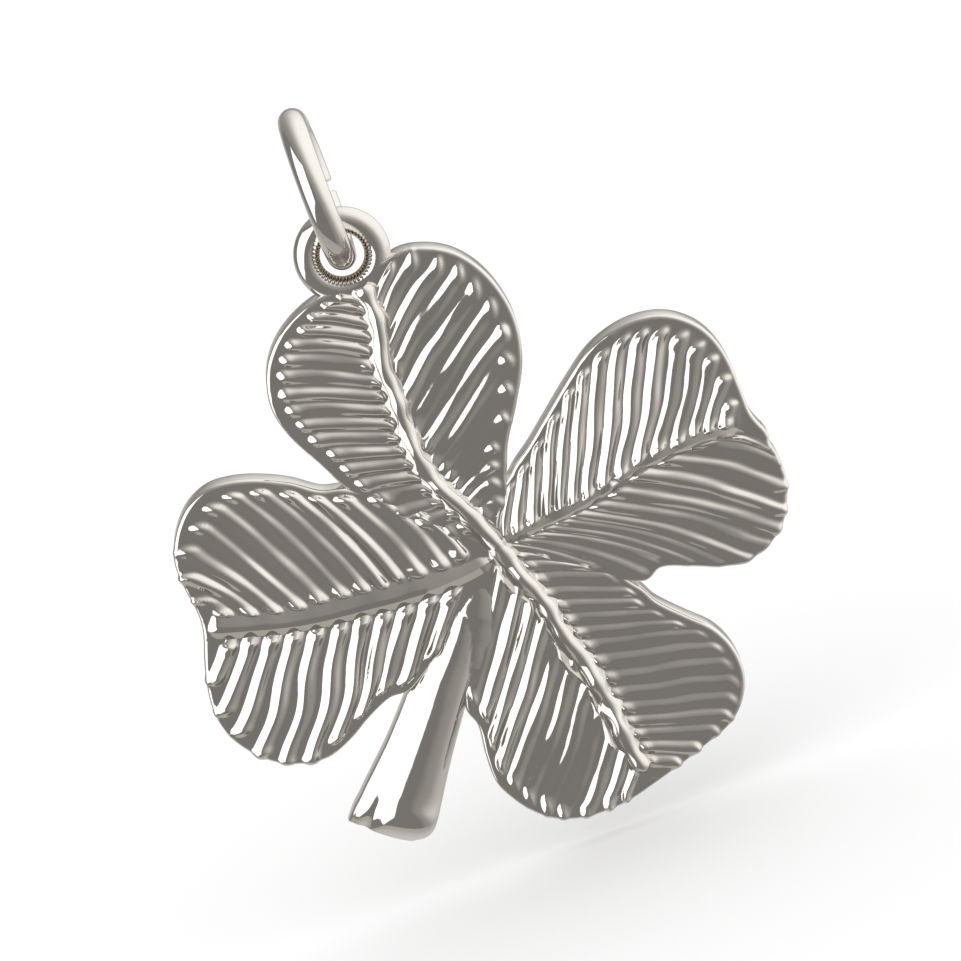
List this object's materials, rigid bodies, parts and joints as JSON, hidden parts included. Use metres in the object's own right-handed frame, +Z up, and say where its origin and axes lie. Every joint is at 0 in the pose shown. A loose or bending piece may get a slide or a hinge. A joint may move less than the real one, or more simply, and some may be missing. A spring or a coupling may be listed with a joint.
{
  "type": "four leaf clover pendant",
  "caption": "Flat cast clover pendant with raised leaf ribs and veins, a short stem and a small eye, hanging on an open round jump ring.",
  "frame": {"origin": "inside top of the jump ring, where a chain or cord bears", "axes": "+Z up along the ring's middle as the pendant hangs, -Y towards the ribbed front, +X to the right as seen from the front"},
  "size_m": [0.0217, 0.0058, 0.0275],
  "materials": {
    "silver": "polished silver"
  },
  "bodies": {
    "ring": {"jump_ring": "silver"},
    "pendant": {"clover": "silver"}
  },
  "joints": [
    {"name": "swing", "type": "hinge", "parent": "ring", "child": "pendant", "pos_m": [0, 0, -0.00195], "axis": [1, 0, 0], "range_deg": [-150, 150]}
  ]
}
